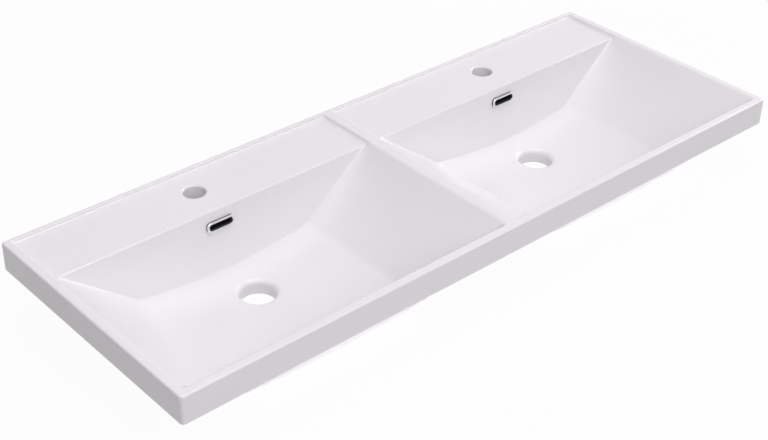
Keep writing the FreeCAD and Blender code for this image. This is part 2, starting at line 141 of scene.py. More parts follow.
def box_depth(x, y, half_x, half_y, corner):
    """How far a point lies inside a rectangle with round corners, seen from above."""
    past_x = np.abs(x) - (half_x - corner)
    past_y = np.abs(y) - (half_y - corner)
    outside = np.hypot(np.maximum(past_x, 0), np.maximum(past_y, 0))
    return corner - outside - np.minimum(np.maximum(past_x, past_y), 0)


# %% The bowls and the tap ledges
SIDE_CREASE = 2.5
FRONT_CREASE = 4
REAR_CREASE = 3
LEDGE_CREASE = 2
LEDGE_LIP = 2.4
STEP_RUN = 3.5
DISH = 2.5
DISH_SPREAD = 55


def bowl_depth(x, y, z):
    """Inside a bowl: above a floor that is part of a large cylinder, and inside four walls.

    The two bowls mirror each other, so the distance from the middle stands for x. Round the
    drain the floor sinks a little, along a bell curve of the distance from the drain's axis.
    """
    across = np.abs(x)
    floor = FLOOR_RADIUS - np.hypot(across - BOWL_X, z - FLOOR_MIDDLE - FLOOR_RADIUS)
    from_drain = np.hypot(across - BOWL_X, y - DRAIN_Y)
    floor = floor + DISH * np.exp(-((from_drain / DISH_SPREAD) ** 2))
    inner = wall_depth(across - INNER_EDGE, RIM - z, INNER_RUN)
    outer = wall_depth(OUTER_EDGE - across, RIM - z, OUTER_RUN)
    front = wall_depth(y - FRONT_EDGE, RIM - z, FRONT_RUN)
    rear = wall_depth(LEDGE_FRONT - y, LEDGE - z, REAR_RUN)
    depth = both(floor, np.minimum(inner, outer), SIDE_CREASE)
    depth = both(depth, front, FRONT_CREASE)
    return both(depth, rear, REAR_CREASE)


def ledge_depth(x, y, z):
    """Inside the shallow recess over a tap ledge: leaning steps at its ends, an upright one behind."""
    across = np.abs(x)
    drop = RIM - LEDGE
    ends = np.minimum(across - INNER_EDGE, OUTER_EDGE - across) + STEP_WIDENING
    ends = (ends * drop - (RIM - z) * STEP_RUN) / np.hypot(drop, STEP_RUN)
    sides = both(ends, LEDGE_BACK - y, LEDGE_CREASE)
    sides = np.minimum(sides, y - LEDGE_FRONT + LEDGE_LIP)
    return both(sides, z - LEDGE, LEDGE_CREASE)


# %% [markdown]
# ## The overflow's place on the rear wall
# The slot is cut squarely into the rear wall, which leans a little. Its pieces are easiest to
# draw flat, as a tile setter would: so far across the wall, so far up it, and so far out of it.
# Three unit directions turn that drawing into the basin's own axes and back.

# %% Directions of the rear wall
SLOT_LEVEL = RIM - 30.8
SLOT_OFFSET = -5
SLOT_Y = LEDGE_FRONT - (LEDGE - SLOT_LEVEL) * REAR_RUN / FLOOR_DROP
WALL_LENGTH = np.hypot(FLOOR_DROP, REAR_RUN)
WALL_UP = np.array([0, REAR_RUN, FLOOR_DROP]) / WALL_LENGTH
WALL_OUT = np.array([0, -FLOOR_DROP, REAR_RUN]) / WALL_LENGTH
HALF_SLOT = np.array([21.5, 5.5])
SLOT_CORNER = 4.5


def on_wall(side, across, up, out):
    """Turns distances across, up and out of the rear wall into points of the basin."""
    middle = np.array([side * BOWL_X + SLOT_OFFSET, SLOT_Y, SLOT_LEVEL])
    turned = np.multiply.outer(up, WALL_UP) + np.multiply.outer(out, WALL_OUT) + middle
    turned[..., 0] += across
    return turned


def from_wall(x, y, z):
    """The way back: distances across, up and out of the nearer bowl's rear wall."""
    deep, high = y - SLOT_Y, z - SLOT_LEVEL
    up = deep * WALL_UP[1] + high * WALL_UP[2]
    out = deep * WALL_OUT[1] + high * WALL_OUT[2]
    return x - np.sign(x) * BOWL_X - SLOT_OFFSET, up, out


print("slot middle at y", round(SLOT_Y, 2), "z", SLOT_LEVEL)

# %% [markdown]
# ## The whole casting as a depth
# The slab is a rounded block with its underside hollowed, the bowls hang below it as shells of
# even thickness, a short boss stands under each drain and a collar under each tap hole. The
# hollows of the bowls, the ledges, the drains, the tap holes and the slots are then taken away,
# each with its own soft lip.

# %% The solid parts
CORNER = 6
TOP_EDGE = 3
FOOT_EDGE = 2
APRON_WALL = 16
APRON_INNER_CORNER = 10
UNDERSIDE_CREASE = 6
FOOT_INNER_EDGE = 2
SHELL_CREASE = 5
BOSS_RADIUS = DRAIN_RADIUS + 11
BOSS_EDGE = 3
TAP_FOOT = LEDGE - 30
COLLAR_RADIUS = TAP_RADIUS + 7


def solid_depth(x, y, z):
    """Inside the slab, a shell, a boss or a collar, before anything is hollowed from above."""
    slab = both(box_depth(x, y, HALF_WIDTH, HALF_DEPTH, CORNER), RIM - z, TOP_EDGE)
    slab = both(slab, z - APRON_FOOT, FOOT_EDGE)
    inset_x, inset_y = HALF_WIDTH - APRON_WALL, HALF_DEPTH - APRON_WALL
    under = box_depth(x, y, inset_x, inset_y, APRON_INNER_CORNER)
    under = both(under, PLATE_UNDERSIDE - z, UNDERSIDE_CREASE)
    slab = both(slab, -under, FOOT_INNER_EDGE)
    plate_middle = (LEDGE + PLATE_UNDERSIDE) / 2
    shell = np.minimum(bowl_depth(x, y, z) + BOWL_WALL, plate_middle - z)
    boss = BOSS_RADIUS - np.hypot(np.abs(x) - BOWL_X, y - DRAIN_Y)
    boss = np.minimum(both(boss, z, BOSS_EDGE), FLOOR_MIDDLE - z)
    collar = COLLAR_RADIUS - np.hypot(np.abs(x) - TAP_X, y - TAP_Y)
    collar = np.minimum(both(collar, z - TAP_FOOT, BOSS_EDGE), plate_middle - z)
    return either(either(slab, shell, SHELL_CREASE), np.maximum(boss, collar), BOSS_EDGE)


# %% The finished depth, with its hollows
STEP_EDGE = 1.2
BOWL_EDGE = 2.4
EDGE_BLEND = 25
DRAIN_LIP = 8
THROAT_EDGE = 1.5
TAP_LIP = 3.3
SLOT_LIP = 0.8


def casting_depth(points):
    """How far points lie inside the finished ceramic. It is negative outside."""
    x, y, z = points[..., 0], points[..., 1], points[..., 2]
    across = np.abs(x)
    hollow = either(bowl_depth(x, y, z), ledge_depth(x, y, z), LEDGE_LIP)
    # The rim turns softly into a bowl, and less softly at the ledge's steps
    in_front = np.clip((LEDGE_FRONT - y) / EDGE_BLEND, 0, 1)
    depth = both(solid_depth(x, y, z), -hollow, STEP_EDGE + (BOWL_EDGE - STEP_EDGE) * in_front)

    # The drain's lip is wide at the floor, and the throat's lower edge is nearly sharp
    share = np.clip((z - FLOOR_MIDDLE / 4) / (FLOOR_MIDDLE / 4), 0, 1)
    lip = THROAT_EDGE + (DRAIN_LIP - THROAT_EDGE) * share
    drain = DRAIN_RADIUS - np.hypot(across - BOWL_X, y - DRAIN_Y)
    depth = both(depth, -drain, lip)
    tap = TAP_RADIUS - np.hypot(across - TAP_X, y - TAP_Y)
    depth = both(depth, -tap, np.where(z > PLATE_UNDERSIDE, TAP_LIP, THROAT_EDGE))
    right, up, out = from_wall(x, y, z)
    slot = box_depth(right, up, *HALF_SLOT, SLOT_CORNER)
    slot = np.minimum(slot, 2 * BOWL_WALL - np.abs(out))
    return both(depth, -slot, SLOT_LIP)


# %% Settling points onto the surface
PROBE = 0.02
LONGEST_MOVE = 2.0
LEAST_SLOPE = 0.05


def depth_slope(points):
    """How the depth changes along each axis, from a short probe to both sides."""
    slope = np.empty_like(points)
    for axis in range(3):
        probe = np.zeros(3)
        probe[axis] = PROBE
        slope[..., axis] = casting_depth(points + probe) - casting_depth(points - probe)
    return slope / (2 * PROBE)


def settle(points, rounds=14):
    """Moves points along the depth's slope until their depth is zero, a short move at a time.

    A move is the depth times the slope over the slope's own square, and never over a set length.
    """
    for _ in range(rounds):
        slope = depth_slope(points)
        steep = np.maximum((slope**2).sum(-1), LEAST_SLOPE)
        move = slope * (casting_depth(points) / steep)[..., None]
        length = np.linalg.norm(move, axis=-1, keepdims=True)
        points = points - move * np.minimum(1, LONGEST_MOVE / np.maximum(length, PROBE))
    return points


def outward(points):
    """Unit directions out of the ceramic: against the depth's slope."""
    slope = depth_slope(points)
    return -slope / np.maximum(np.linalg.norm(slope, axis=-1, keepdims=True), PROBE)


# %% [markdown]
# ## A net over the casting
# The net is a pillow: one grid over the top, one under the bottom with the same number of lines,
# and a band round the edge that joins them. Lines lie close together where the surface turns and
# far apart where it is flat. Each span below has a place on top, a place underneath and a number
# of steps. Windows are left where the drains, tap holes and slots go through.


# %% Ruling lines
def ruled(stops, steps):
    """Positions from the first stop to the last, with even steps inside each span."""
    spans = [np.linspace(a, b, n, endpoint=False) for a, b, n in zip(stops, stops[1:], steps)]
    return np.concatenate(spans + [stops[-1:]])


def lines_of(spans):
    """The net's lines on top and underneath, and the line number at which each span starts."""
    top_stops, under_stops, steps = [np.array(column) for column in zip(*spans.values())]
    starts = dict(zip(spans, np.concatenate([[0], np.cumsum(steps)])))
    return ruled(top_stops, steps), ruled(under_stops, steps), starts


# %% Windows and close lines
TOP_INSET = 4.5
UNDER_INSET = 21
UNDER_CORNER = APRON_WALL + APRON_INNER_CORNER
DRAIN_WINDOW = 40
DRAIN_UNDER_WINDOW = 50
TAP_WINDOW = 25
TAP_UNDER_WINDOW = 28
SLOT_WINDOW = 9
DRAIN_STEPS = 16
TAP_STEPS = 10
SLOT_STEPS = 8
SLOT_ACROSS = 14

# How far the close lines reach past an edge, inside it, and to both sides of a crease
EDGE_OUTSIDE = 5
EDGE_INSIDE = 4
SLOPE_TOP = 14
CREASE_REACH = 9
FRONT_REACH = 8
UNDER_CREASE = 28
print("windows of", 2 * DRAIN_WINDOW, "and", 2 * TAP_WINDOW, "mm round a drain and a tap hole")

# %% Lines along the basin, from the middle to the right end
FLOOR_INNER = BOWL_X - HALF_FLOOR
FLOOR_OUTER = BOWL_X + HALF_FLOOR
x_spans = {
    "middle": (0, 0, 2),
    "divider edge": (INNER_EDGE - EDGE_OUTSIDE, 8, 16),
    "divider slope": (INNER_EDGE + EDGE_INSIDE, 18, 3),
    "inner slope": (INNER_EDGE + SLOPE_TOP, 34, 7),
    "inner crease": (FLOOR_INNER - CREASE_REACH, FLOOR_INNER - UNDER_CREASE, 12),
    "inner floor": (FLOOR_INNER + CREASE_REACH, FLOOR_INNER, 6),
    "drain window": (BOWL_X - DRAIN_WINDOW, BOWL_X - DRAIN_UNDER_WINDOW, DRAIN_STEPS),
    "outer floor": (BOWL_X + DRAIN_WINDOW, BOWL_X + DRAIN_UNDER_WINDOW, 6),
    "outer crease": (FLOOR_OUTER - CREASE_REACH, FLOOR_OUTER, 12),
    "outer slope": (FLOOR_OUTER + CREASE_REACH, FLOOR_OUTER + UNDER_CREASE, 7),
    "rim slope": (OUTER_EDGE - SLOPE_TOP, OUTER_EDGE - 34, 3),
    "rim edge": (OUTER_EDGE - EDGE_INSIDE, OUTER_EDGE - 22, 16),
    "rim": (OUTER_EDGE + EDGE_OUTSIDE, HALF_WIDTH - UNDER_CORNER - 2, 1),
    "corner": (HALF_WIDTH - CORNER, HALF_WIDTH - UNDER_CORNER, 2),
    "end": (HALF_WIDTH - TOP_INSET, HALF_WIDTH - UNDER_INSET, 0),
}
half_top_x, half_under_x, x_start = lines_of(x_spans)
top_x = np.concatenate([-half_top_x[:0:-1], half_top_x])
under_x = np.concatenate([-half_under_x[:0:-1], half_under_x])
MIDDLE_LINE = len(half_top_x) - 1
COLUMNS = len(top_x)
print("columns:", COLUMNS)


# %% Lines across the basin, from the front to the wall side
def wall_y(level):
    """Where the rear wall stands at a level."""
    return LEDGE_FRONT - (LEDGE - level) * REAR_RUN / FLOOR_DROP


FRONT_FOOT = FRONT_EDGE + (RIM - FLOOR_MIDDLE) * FRONT_RUN / FLOOR_DROP
REAR_FOOT = wall_y(FLOOR_MIDDLE)
REAR_STRIP = 12
LIP_FOOT = wall_y(LEDGE - LEDGE_LIP)
SLOT_LOW, SLOT_HIGH = SLOT_LEVEL - SLOT_WINDOW, SLOT_LEVEL + SLOT_WINDOW
y_spans = {
    "front": (TOP_INSET - HALF_DEPTH, UNDER_INSET - HALF_DEPTH, 2),
    "front corner": (CORNER - HALF_DEPTH, UNDER_CORNER - HALF_DEPTH, 2),
    "front edge": (FRONT_EDGE - EDGE_OUTSIDE, UNDER_CORNER + 3 - HALF_DEPTH, 8),
    "front turn": (FRONT_EDGE, UNDER_CORNER + 6 - HALF_DEPTH, 9),
    "front slope": (FRONT_EDGE + 2, UNDER_CORNER + 9 - HALF_DEPTH, 5),
    "front crease": (FRONT_FOOT - FRONT_REACH, FRONT_FOOT - 2 * FRONT_REACH, 10),
    "front floor": (FRONT_FOOT + FRONT_REACH, FRONT_FOOT + 2, 7),
    "drain window": (DRAIN_Y - DRAIN_WINDOW, DRAIN_Y - DRAIN_UNDER_WINDOW, DRAIN_STEPS),
    "rear floor": (DRAIN_Y + DRAIN_WINDOW, DRAIN_Y + DRAIN_UNDER_WINDOW, 5),
    "rear crease": (REAR_FOOT - REAR_STRIP, REAR_FOOT - 4, 12),
    "rear foot": (REAR_FOOT, REAR_FOOT + BOWL_WALL - 1, 12),
    "rear wall": (wall_y(FLOOR_MIDDLE + 24), wall_y(FLOOR_MIDDLE + 24) + BOWL_WALL, 8),
    "slot window": (wall_y(SLOT_LOW), wall_y(SLOT_LOW) + BOWL_WALL, SLOT_STEPS),
    "wall top": (wall_y(SLOT_HIGH), wall_y(SLOT_HIGH) + BOWL_WALL - 0.2, 5),
    "lip foot": (wall_y(LEDGE - 4), LEDGE_FRONT + BOWL_WALL, 3),
    "lip turn": (LIP_FOOT, LEDGE_FRONT + BOWL_WALL + 1, 3),
    "lip top": (LEDGE_FRONT + LEDGE_LIP / 6, LEDGE_FRONT + BOWL_WALL + 2, 5),
    "lip end": (LEDGE_FRONT + LEDGE_LIP, LEDGE_FRONT + BOWL_WALL + 3, 2),
    "ledge": (LEDGE_FRONT + 4, LEDGE_FRONT + BOWL_WALL + 6, 5),
    "tap window": (TAP_Y - TAP_WINDOW, TAP_Y - TAP_UNDER_WINDOW, TAP_STEPS),
    "ledge back": (TAP_Y + TAP_WINDOW, TAP_Y + TAP_UNDER_WINDOW, 4),
    "back step": (LEDGE_BACK - 4, HALF_DEPTH - UNDER_CORNER - 6, 13),
    "back": (LEDGE_BACK + 1.7, HALF_DEPTH - UNDER_CORNER - 2, 1),
    "back corner": (HALF_DEPTH - CORNER, HALF_DEPTH - UNDER_CORNER, 2),
    "wall side": (HALF_DEPTH - TOP_INSET, HALF_DEPTH - UNDER_INSET, 0),
}
top_y, under_y, y_start = lines_of(y_spans)
ROWS = len(top_y)
print("rows:", ROWS)


# %% Rough heights, from the sharp planes
BACK_STEP_RUN = 2


def wall_height(inward, top, run, wall):
    """Height of a leaning wall at a place, or of its outside when it has a thickness."""
    return top - (inward * FLOOR_DROP + wall * np.hypot(FLOOR_DROP, run)) / run


def bowl_height(x, y, wall):
    """Height of the bowl at a place: the highest of its floor and its four walls."""
    across = np.abs(x)
    floor = FLOOR_MIDDLE - wall + (across - BOWL_X) ** 2 / (2 * FLOOR_RADIUS)
    inner = wall_height(across - INNER_EDGE, RIM, INNER_RUN, wall)
    outer = wall_height(OUTER_EDGE - across, RIM, OUTER_RUN, wall)
    front = wall_height(y - FRONT_EDGE, RIM, FRONT_RUN, wall)
    rear = np.minimum(wall_height(LEDGE_FRONT - y, LEDGE, REAR_RUN, wall), LEDGE)
    return np.maximum.reduce([floor, inner, outer, front, rear])


def side_height(x):
    """Height of the floor and the two side walls at a place along the basin."""
    return bowl_height(x, np.full_like(x, REAR_FOOT), 0)


def top_height(x, y):
    """Height of the top: the bowl in front, and the ledge with its lip and its steps behind.

    The ledge has its lip over the rear wall, and none where a side wall stands higher.
    """
    across = np.abs(x)
    past_ends = np.maximum(INNER_EDGE - across, across - OUTER_EDGE) - STEP_WIDENING
    climb = np.maximum(past_ends / STEP_RUN + 1, (y - LEDGE_BACK) / BACK_STEP_RUN + 0.5)
    ledge = LEDGE + (RIM - LEDGE) * np.clip(climb, 0, 1)
    before_flat = np.clip(1 - (y - LEDGE_FRONT) / LEDGE_LIP, 0, 1)
    lip = LEDGE_LIP * (1 - np.sqrt(1 - before_flat**2))
    behind = np.maximum(ledge - lip, np.minimum(side_height(x), ledge))
    height = np.where(y < LEDGE_FRONT, bowl_height(x, y, 0), behind)
    return np.minimum(height, np.where(y > LEDGE_FRONT - LEDGE_LIP, ledge, RIM))


def under_height(x, y):
    """Height of the underside: the bowls' shells, and the plate between them."""
    return np.minimum(bowl_height(x, y, BOWL_WALL), PLATE_UNDERSIDE)


# %% Laying the net
def along_foot(x, y):
    """Moves the lines near the rear wall, so that one of them follows the wall's foot.

    Over a side wall the foot climbs, and the wall leans, so the foot moves back. Lines on the
    wall close up towards the lip in proportion, and lines on the floor are drawn after it.
    """
    foot = np.minimum(side_height(x), LEDGE - 2 * LEDGE_LIP)
    across = np.abs(x)
    inside = np.minimum(across - INNER_EDGE, OUTER_EDGE - across)
    off_rim = np.clip((inside + EDGE_OUTSIDE) / (EDGE_OUTSIDE + EDGE_INSIDE), 0, 1)
    rear_floor = DRAIN_Y + DRAIN_WINDOW
    floor_share = np.clip((y - rear_floor) / (REAR_FOOT - REAR_STRIP - rear_floor), 0, 1)
    wall_share = np.clip((LIP_FOOT - y) / (LIP_FOOT - REAR_FOOT), 0, 1)
    return y + off_rim * (wall_y(foot) - REAR_FOOT) * np.minimum(floor_share, wall_share)


def laid_net(x, y, height):
    """Points of a grid with rows along Y and columns along X, at the given height."""
    return np.stack([x, y, height(x, y)], axis=-1)


grid_x, grid_y = np.meshgrid(top_x, top_y)
top_net = laid_net(grid_x, along_foot(grid_x, grid_y), top_height)
under_net = laid_net(*np.meshgrid(under_x, under_y), under_height)
print("points over and under:", top_net.shape, under_net.shape)

# %% [markdown]
# ## The band and the tunnels
# The band runs from the top's border over the outer edge, down the apron, under its foot and up
# inside to the border of the underside. A tunnel runs in the same way from a window on top to
# the window underneath. Both are rows of points round a rounded rectangle, and a circle is just
# a rounded rectangle whose straight sides have no length.


# %% Rows round an outline
def round_walk(first_i, last_i, first_j, last_j):
    """Line numbers round a window of the net, anticlockwise from above, each corner once."""
    right, up = np.arange(first_i, last_i), np.arange(first_j, last_j)
    i = np.concatenate([right, np.full(len(up), last_i), right[::-1] + 1, np.full(len(up), first_i)])
    j = np.concatenate([np.full(len(right), first_j), up, np.full(len(right), last_j), up[::-1] + 1])
    return i, j


def outline_rows(loop, core, reaches):
    """Rows of points at given distances from a core rectangle, each towards its own loop point."""
    nearest = np.clip(loop, -core, core)
    away = loop - nearest
    direction = away / np.linalg.norm(away, axis=-1, keepdims=True)
    return nearest + np.multiply.outer(reaches, direction)


def with_levels(rows, levels):
    """Adds a height to each row of flat points."""
    flat = np.broadcast_to(np.asarray(levels, float)[:, None], rows.shape[:2])
    return np.concatenate([rows, flat[..., None]], axis=-1)


def quarter(steps):
    """Sines and cosines over a quarter turn, for the rows of a rounded edge."""
    turn = np.linspace(0, np.pi / 2, steps + 1)
    return np.sin(turn), np.cos(turn)


# %% The band round the apron
edge_i, edge_j = round_walk(0, COLUMNS - 1, 0, ROWS - 1)
top_edge = top_net[edge_j, edge_i]
under_edge = under_net[edge_j, edge_i]
half_slab = np.array([HALF_WIDTH, HALF_DEPTH])

rise, level = quarter(6)
face_levels = np.linspace(RIM - TOP_EDGE, APRON_FOOT + FOOT_EDGE, 5)[1:-1]
outer_reach = [CORNER - TOP_EDGE + TOP_EDGE * rise, CORNER + 0 * face_levels]
outer_reach.append(CORNER - FOOT_EDGE + FOOT_EDGE * rise[::-1])
outer_levels = [RIM - TOP_EDGE + TOP_EDGE * level, face_levels]
outer_levels.append(APRON_FOOT + FOOT_EDGE - FOOT_EDGE * level[::-1])
outer = outline_rows(top_edge[:, :2], half_slab - CORNER, np.concatenate(outer_reach))
outer = with_levels(outer, np.concatenate(outer_levels))

inner_core = half_slab - APRON_WALL - APRON_INNER_CORNER
foot_reach = APRON_INNER_CORNER + np.array([APRON_WALL / 2, FOOT_INNER_EDGE, FOOT_INNER_EDGE / 3, 0])
foot_levels = APRON_FOOT + np.array([0, 0, FOOT_INNER_EDGE / 5, FOOT_INNER_EDGE])
foot = with_levels(outline_rows(under_edge[:, :2], inner_core, foot_reach), foot_levels)
shares = np.linspace(0, 1, 6)[1:-1, None]
inside = np.repeat(foot[-1:], len(shares), axis=0)
inside[..., 2] += shares * (under_edge[:, 2] - foot[-1, :, 2])
band = np.concatenate([outer, foot, inside])
print("band of", band.shape[0], "rows round", band.shape[1], "columns")


# %% The tunnels of a drain, a tap hole and a slot
def hole_rows(loop, middle, radii, levels):
    """Rows of circles about a middle, one for each radius and level."""
    rows = outline_rows(loop[:, :2] - middle, np.zeros(2), np.asarray(radii, float))
    return with_levels(rows + middle, levels)


def drain_rows(side, loop):
    """Down the soft lip and the throat, round the boss's foot and up its outside."""
    lip_radius = DRAIN_RADIUS + DRAIN_LIP
    rise, level = quarter(9)
    throat = np.linspace(FLOOR_MIDDLE - DRAIN_LIP, THROAT_EDGE, 6)[1:]
    boss_rise, boss_level = quarter(4)
    radii = [[lip_radius + 3], lip_radius - DRAIN_LIP * rise, DRAIN_RADIUS + 0 * throat]
    levels = [[FLOOR_MIDDLE], FLOOR_MIDDLE - DRAIN_LIP + DRAIN_LIP * level, throat]
    radii.append(DRAIN_RADIUS + THROAT_EDGE * np.array([0.3, 1, 2]))
    levels.append(THROAT_EDGE * np.array([0.3, 0, 0]))
    radii.append(BOSS_RADIUS - BOSS_EDGE + BOSS_EDGE * boss_rise)
    levels.append(BOSS_EDGE - BOSS_EDGE * boss_level)
    radii.append(BOSS_RADIUS + BOSS_EDGE * np.array([0.2, 0.8, 1.8]))
    levels.append(FLOOR_MIDDLE - BOWL_WALL - BOSS_EDGE * np.array([0.8, 0.2, 0]))
    middle = np.array([side * BOWL_X, DRAIN_Y])
    return hole_rows(loop, middle, np.concatenate(radii), np.concatenate(levels))


def tap_rows(side, loop):
    """Over the lip, down the hole, round the collar's foot and up its outside to the plate."""
    rise, level = quarter(6)
    bore = np.linspace(LEDGE - TAP_LIP, TAP_FOOT + THROAT_EDGE, 6)[1:]
    foot_rise, foot_level = quarter(4)
    radii = [[TAP_RADIUS + TAP_LIP + 1], TAP_RADIUS + TAP_LIP - TAP_LIP * rise, TAP_RADIUS + 0 * bore]
    levels = [[LEDGE], LEDGE - TAP_LIP + TAP_LIP * level, bore]
    radii.append(TAP_RADIUS + THROAT_EDGE * np.array([0.3, 1]))
    levels.append(TAP_FOOT + THROAT_EDGE * np.array([0.3, 0]))
    radii.append(COLLAR_RADIUS - BOSS_EDGE + BOSS_EDGE * foot_rise)
    levels.append(TAP_FOOT + BOSS_EDGE - BOSS_EDGE * foot_level)
    radii.append(COLLAR_RADIUS + BOSS_EDGE * np.array([0, 0.2, 0.8]))
    levels.append(PLATE_UNDERSIDE - BOSS_EDGE * np.array([1.4, 0.8, 0.2]))
    middle = np.array([side * TAP_X, TAP_Y])
    return hole_rows(loop, middle, np.concatenate(radii), np.concatenate(levels))


def slot_rows(side, loop):
    """Over the slot's lip and through the rear wall, drawn in the wall's own directions."""
    across = loop[:, 0] - side * BOWL_X - SLOT_OFFSET
    up = (loop[:, 2] - SLOT_LEVEL) / WALL_UP[2]
    # Each row's distance outside the slot's outline, and its place through the wall
    margins = SLOT_LIP * np.array([2, 1, 0.3, 0, 0, 0, 0.3, 1])
    way_in = SLOT_LIP * np.array([0, 0, -0.3, -1])
    way_out = -BOWL_WALL + SLOT_LIP * np.array([1, 0.3, 0])
    out = np.concatenate([way_in, [-BOWL_WALL / 2], way_out])
    rows = outline_rows(np.stack([across, up], axis=-1), HALF_SLOT - SLOT_CORNER, SLOT_CORNER + margins)
    return on_wall(side, rows[..., 0], rows[..., 1], np.repeat(out[:, None], len(loop), axis=1))


# %% Faces between rows
def joined(rows, order):
    """Faces between rows of a closed loop. An order of -1 turns them to face the other way."""
    ahead = np.roll(rows, -1, axis=1)
    quads = np.stack([rows[:-1], ahead[:-1], ahead[1:], rows[1:]], axis=-1).reshape(-1, 4)
    return quads[:, ::order]


def grid_faces(numbers, kept):
    """Faces of a grid of point numbers, in the cells that are kept."""
    quads = [numbers[:-1, :-1], numbers[:-1, 1:], numbers[1:, 1:], numbers[1:, :-1]]
    return np.stack(quads, axis=-1)[kept]


# %% Numbers for all the points
# Each tunnel: its rows, how many of them are glazed, the span where its window starts from the
# front, how many lines further out than the drain window it starts, and its steps along X and Y
tunnels = {
    "drain": (drain_rows, 17, "drain window", 0, DRAIN_STEPS, DRAIN_STEPS),
    "tap": (tap_rows, 12, "tap window", 4, TAP_STEPS, TAP_STEPS),
    "slot": (slot_rows, 4, "slot window", 1, SLOT_ACROSS, SLOT_STEPS),
}
BAND_GLAZED_ROWS = 13
parts = [top_net.reshape(-1, 3), under_net.reshape(-1, 3)]
glaze_shares = [np.ones(COLUMNS * ROWS), np.zeros(COLUMNS * ROWS)]
numbers = np.arange(COLUMNS * ROWS).reshape(ROWS, COLUMNS)
under_numbers = numbers + numbers.size


def number_rows(rows, glazed_rows):
    """Adds rows of points to the mesh, the first of them glazed, and gives their numbers."""
    first_number = sum(len(part) for part in parts)
    parts.append(rows.reshape(-1, 3))
    glaze_shares.append(np.repeat(np.arange(len(rows)) < glazed_rows, rows.shape[1]))
    return np.arange(rows.shape[0] * rows.shape[1]).reshape(rows.shape[:2]) + first_number


# %% One closed mesh
kept = np.ones((ROWS - 1, COLUMNS - 1), bool)
band_numbers = number_rows(band, BAND_GLAZED_ROWS)
edge_rows = [numbers[edge_j, edge_i][None], band_numbers, under_numbers[edge_j, edge_i][None]]
faces = [joined(np.concatenate(edge_rows), -1)]
for rows_of, glazed_rows, window, offset, x_steps, y_steps in tunnels.values():
    for side in (-1, 1):
        first = MIDDLE_LINE + side * (x_start["drain window"] + offset)
        first, last = sorted([first, first + side * x_steps])
        low = y_start[window]
        kept[low:low + y_steps, first:last] = False
        walk_i, walk_j = round_walk(first, last, low, low + y_steps)
        rows = number_rows(rows_of(side, top_net[walk_j, walk_i]), glazed_rows)
        ends = [numbers[walk_j, walk_i][None], rows, under_numbers[walk_j, walk_i][None]]
        faces.append(joined(np.concatenate(ends), 1))
faces.append(grid_faces(numbers, kept))
faces.append(grid_faces(under_numbers, kept)[:, ::-1])

used, faces = np.unique(np.concatenate(faces), return_inverse=True)
faces = faces.reshape(-1, 4)
casting_points = settle(np.concatenate(parts)[used])
casting_normals = outward(casting_points)
print("casting:", len(casting_points), "points,", len(faces), "faces, largest depth left",
      float(np.abs(casting_depth(casting_points)).max()))


# %% [markdown]
# ## From arrays to a Blender object
# A mesh takes its points and faces straight from the arrays. The casting's own slope gives a
# better normal at each point than the faces around it do, so flat parts shade flat right up to
# their rounded edges.


# %% Making a piece
def make_piece(name, points, quads, material, normals=None, caps=()):
    """Puts points in millimetres and faces into a new object that sits at the origin."""
    mesh = bpy.data.meshes.new(name)
    mesh.from_pydata(points * MM, [], quads.tolist() + [list(cap) for cap in caps])
    mesh.polygons.foreach_set("use_smooth", np.ones(len(mesh.polygons), bool))
    if normals is not None:
        mesh.normals_split_custom_set_from_vertices(normals)
    mesh.materials.append(material)
    piece = bpy.data.objects.new(name, mesh)
    bpy.context.scene.collection.objects.link(piece)
    mesh.calc_loop_triangles()
    triangles = np.array([triangle.vertices for triangle in mesh.loop_triangles])
    first, second, third = np.moveaxis(points[triangles], 1, 0)
    volume = (first * np.cross(second, third)).sum() / 6
    print(name, "has", len(mesh.polygons), "faces and encloses", round(volume / 1000), "cm3")
    return piece


# %% [markdown]
# ## Glazed ceramic
# Sanitary ware is a white body under a thick clear glaze. Close up the glaze has a very fine
# waviness, and its white drifts a little where it is thicker. The wall side, the foot and the
# underside are only thinly sprayed, so they are duller and a little darker. A point attribute
# says where the full glaze is, and noise on Object coordinates gives the waviness.


# %% Helpers for node materials
def new_material(name):
    """An empty node material: its tree, its shader and its Object coordinates."""
    material = bpy.data.materials.new(name)
    material.use_nodes = True
    tree = material.node_tree
    coordinates = tree.nodes.new("ShaderNodeTexCoord")
    return material, tree, tree.nodes["Principled BSDF"], coordinates.outputs["Object"]


def noise(tree, coordinates, scale, detail):
    """A value from 0 to 1 that wanders over the piece, in waves of about 1 / scale metres."""
    node = tree.nodes.new("ShaderNodeTexNoise")
    node.inputs["Scale"].default_value = scale
    node.inputs["Detail"].default_value = detail
    tree.links.new(coordinates, node.inputs["Vector"])
    return node.outputs["Fac"]


def ramp(tree, value, low, high):
    """A straight blend between two values as the input goes from 0 to 1."""
    node = tree.nodes.new("ShaderNodeMapRange")
    node.inputs["To Min"].default_value = low
    node.inputs["To Max"].default_value = high
    tree.links.new(value, node.inputs["Value"])
    return node.outputs["Result"]


def mixed(tree, share, first, second):
    """A colour between two others. Each may be a colour or another node's output."""
    node = tree.nodes.new("ShaderNodeMix")
    node.data_type = "RGBA"
    tree.links.new(share, node.inputs[0])
    for socket, colour in ((node.inputs[6], first), (node.inputs[7], second)):
        if isinstance(colour, tuple):
            socket.default_value = colour
        else:
            tree.links.new(colour, socket)
    return node.outputs[2]


def bumped(tree, shader, height, strength, distance):
    """Tilts the shader's normal as if the surface rose by the height times the distance."""
    node = tree.nodes.new("ShaderNodeBump")
    node.inputs["Strength"].default_value = strength
    node.inputs["Distance"].default_value = distance
    tree.links.new(height, node.inputs["Height"])
    tree.links.new(node.outputs["Normal"], shader.inputs["Normal"])


